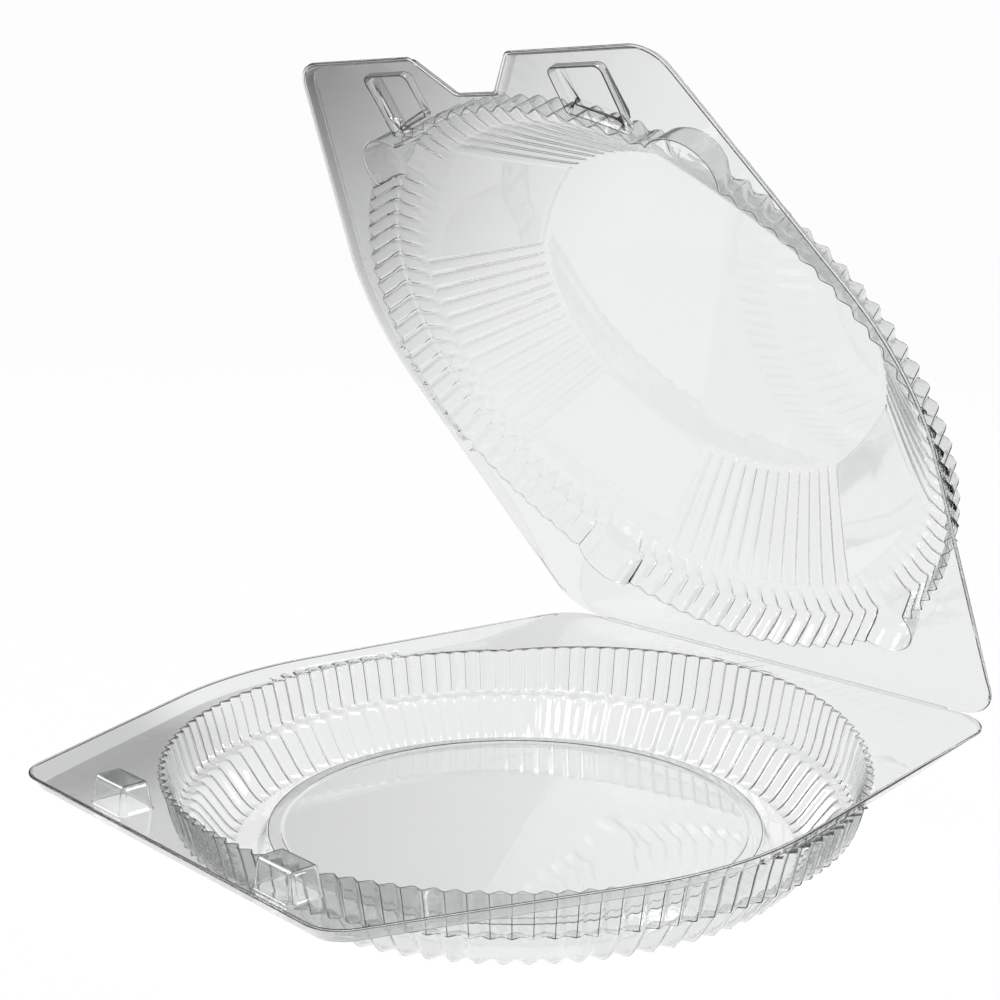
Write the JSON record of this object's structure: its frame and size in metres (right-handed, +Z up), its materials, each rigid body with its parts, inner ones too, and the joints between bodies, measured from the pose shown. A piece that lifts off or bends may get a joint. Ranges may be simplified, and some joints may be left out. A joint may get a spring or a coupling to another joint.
{
  "type": "hinged pie container",
  "caption": "Clear thermoformed pie container: fluted round tray and ribbed domed lid on a living hinge, with a notched front edge and press latches.",
  "frame": {"origin": "on the ground under the middle of the open container, in its plane of symmetry", "axes": "+X along the hinge, +Y from the latch edge of the tray towards the hinge, +Z up"},
  "size_m": [0.26, 0.2938, 0.2736],
  "materials": {
    "clear_sheet": "gloss"
  },
  "bodies": {
    "tray": {"tray": "clear_sheet"},
    "lid": {"lid": "clear_sheet"}
  },
  "joints": [
    {"name": "lid_hinge", "type": "hinge", "parent": "tray", "child": "lid", "pos_m": [0, 0.14109, 0.03815], "axis": [-1, 0, 0], "range_deg": [-54.7, 125.3]}
  ]
}
